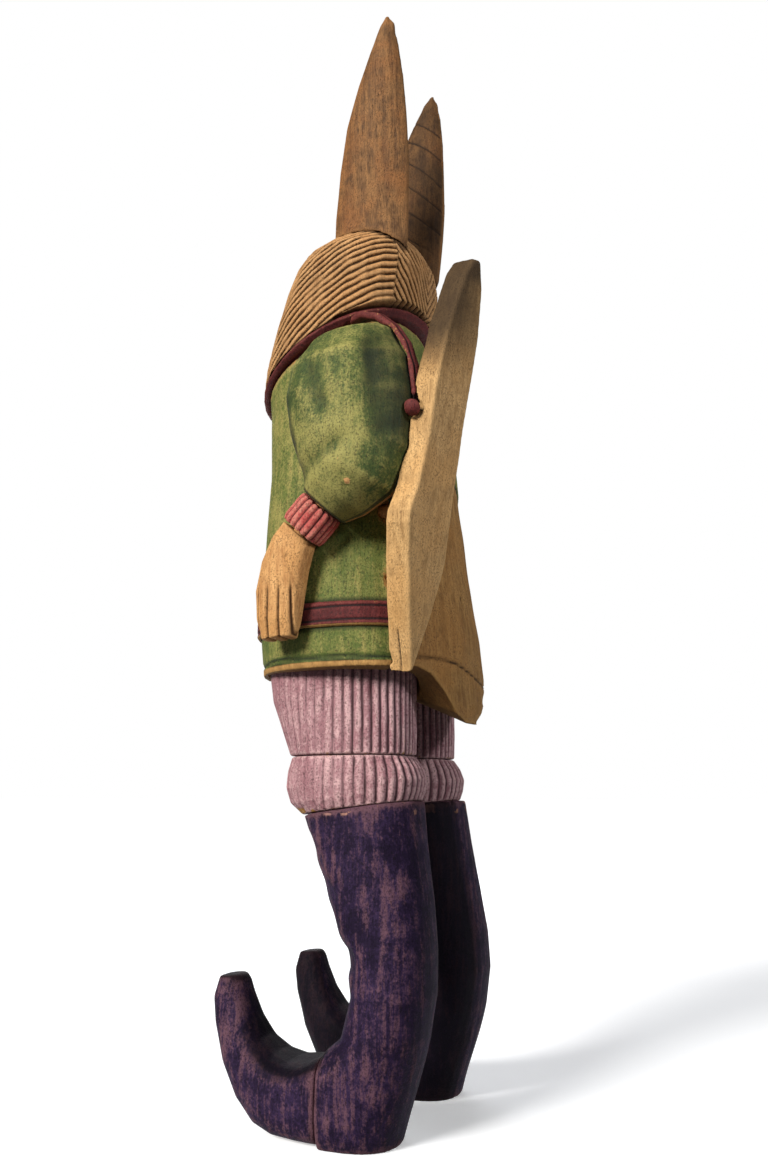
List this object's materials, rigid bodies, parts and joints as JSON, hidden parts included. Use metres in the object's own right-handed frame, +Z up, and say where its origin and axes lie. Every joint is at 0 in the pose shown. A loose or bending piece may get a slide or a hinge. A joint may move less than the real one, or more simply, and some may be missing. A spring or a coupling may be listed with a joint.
{
  "type": "carved wooden hare figure",
  "caption": "Standing carved and painted wooden long-eared hare figure in a belted coat, with plug-in ears, a board slung on its back and curled boots.",
  "frame": {"origin": "on the floor, under the middle of the figure's box", "axes": "+Z up, the figure faces -Y and its left side is +X"},
  "size_m": [0.144, 0.1105, 0.45],
  "materials": {
    "bare_wood": "bare, tool-marked",
    "ear_wood": "bare, tool-marked",
    "pale_wood": "bare, tool-marked",
    "green_paint": "thin matt paint, worn through to the wood",
    "maroon_paint": "thin matt paint, worn through to the wood",
    "red_paint": "thin matt paint, worn through to the wood",
    "mauve_paint": "thin matt paint, worn through to the wood",
    "purple_paint": "thin matt paint, worn through to the wood"
  },
  "bodies": {
    "figure": {"coat_block": "green_paint", "head_block": "bare_wood", "collar_band": "maroon_paint", "belt": "maroon_paint", "belt_buckle": "maroon_paint", "shoulder_strap": "maroon_paint", "neck_dowel": "bare_wood", "lower_board_peg": "bare_wood", "upper_board_peg": "bare_wood", "left_sleeve": "green_paint", "left_wrist_cuff": "red_paint", "left_hand": "bare_wood", "left_breeches": "mauve_paint", "left_knee_cuff": "mauve_paint", "left_boot": "purple_paint", "left_boot_toe": "purple_paint", "left_waist_dowel": "bare_wood", "left_knee_dowel": "bare_wood", "left_toe_dowel": "bare_wood", "left_shoulder_dowel": "bare_wood", "left_wrist_dowel": "bare_wood", "right_sleeve": "green_paint", "right_wrist_cuff": "red_paint", "right_hand": "bare_wood", "right_breeches": "mauve_paint", "right_knee_cuff": "mauve_paint", "right_boot": "purple_paint", "right_boot_toe": "purple_paint", "right_waist_dowel": "bare_wood", "right_knee_dowel": "bare_wood", "right_toe_dowel": "bare_wood", "right_shoulder_dowel": "bare_wood", "right_wrist_dowel": "bare_wood"},
    "left_ear_body": {"left_ear": "ear_wood"},
    "right_ear_body": {"right_ear": "ear_wood"},
    "board_body": {"slung_board": "pale_wood"}
  },
  "joints": [
    {"name": "left_ear_pull", "type": "slide", "parent": "figure", "child": "left_ear_body", "axis": [0, 0, 1], "range_m": [0, 0.028]},
    {"name": "right_ear_pull", "type": "slide", "parent": "figure", "child": "right_ear_body", "axis": [0, 0, 1], "range_m": [0, 0.028]},
    {"name": "board_pull", "type": "slide", "parent": "figure", "child": "board_body", "axis": [0.2079, 0.9781, 0], "range_m": [0, 0.02]}
  ]
}
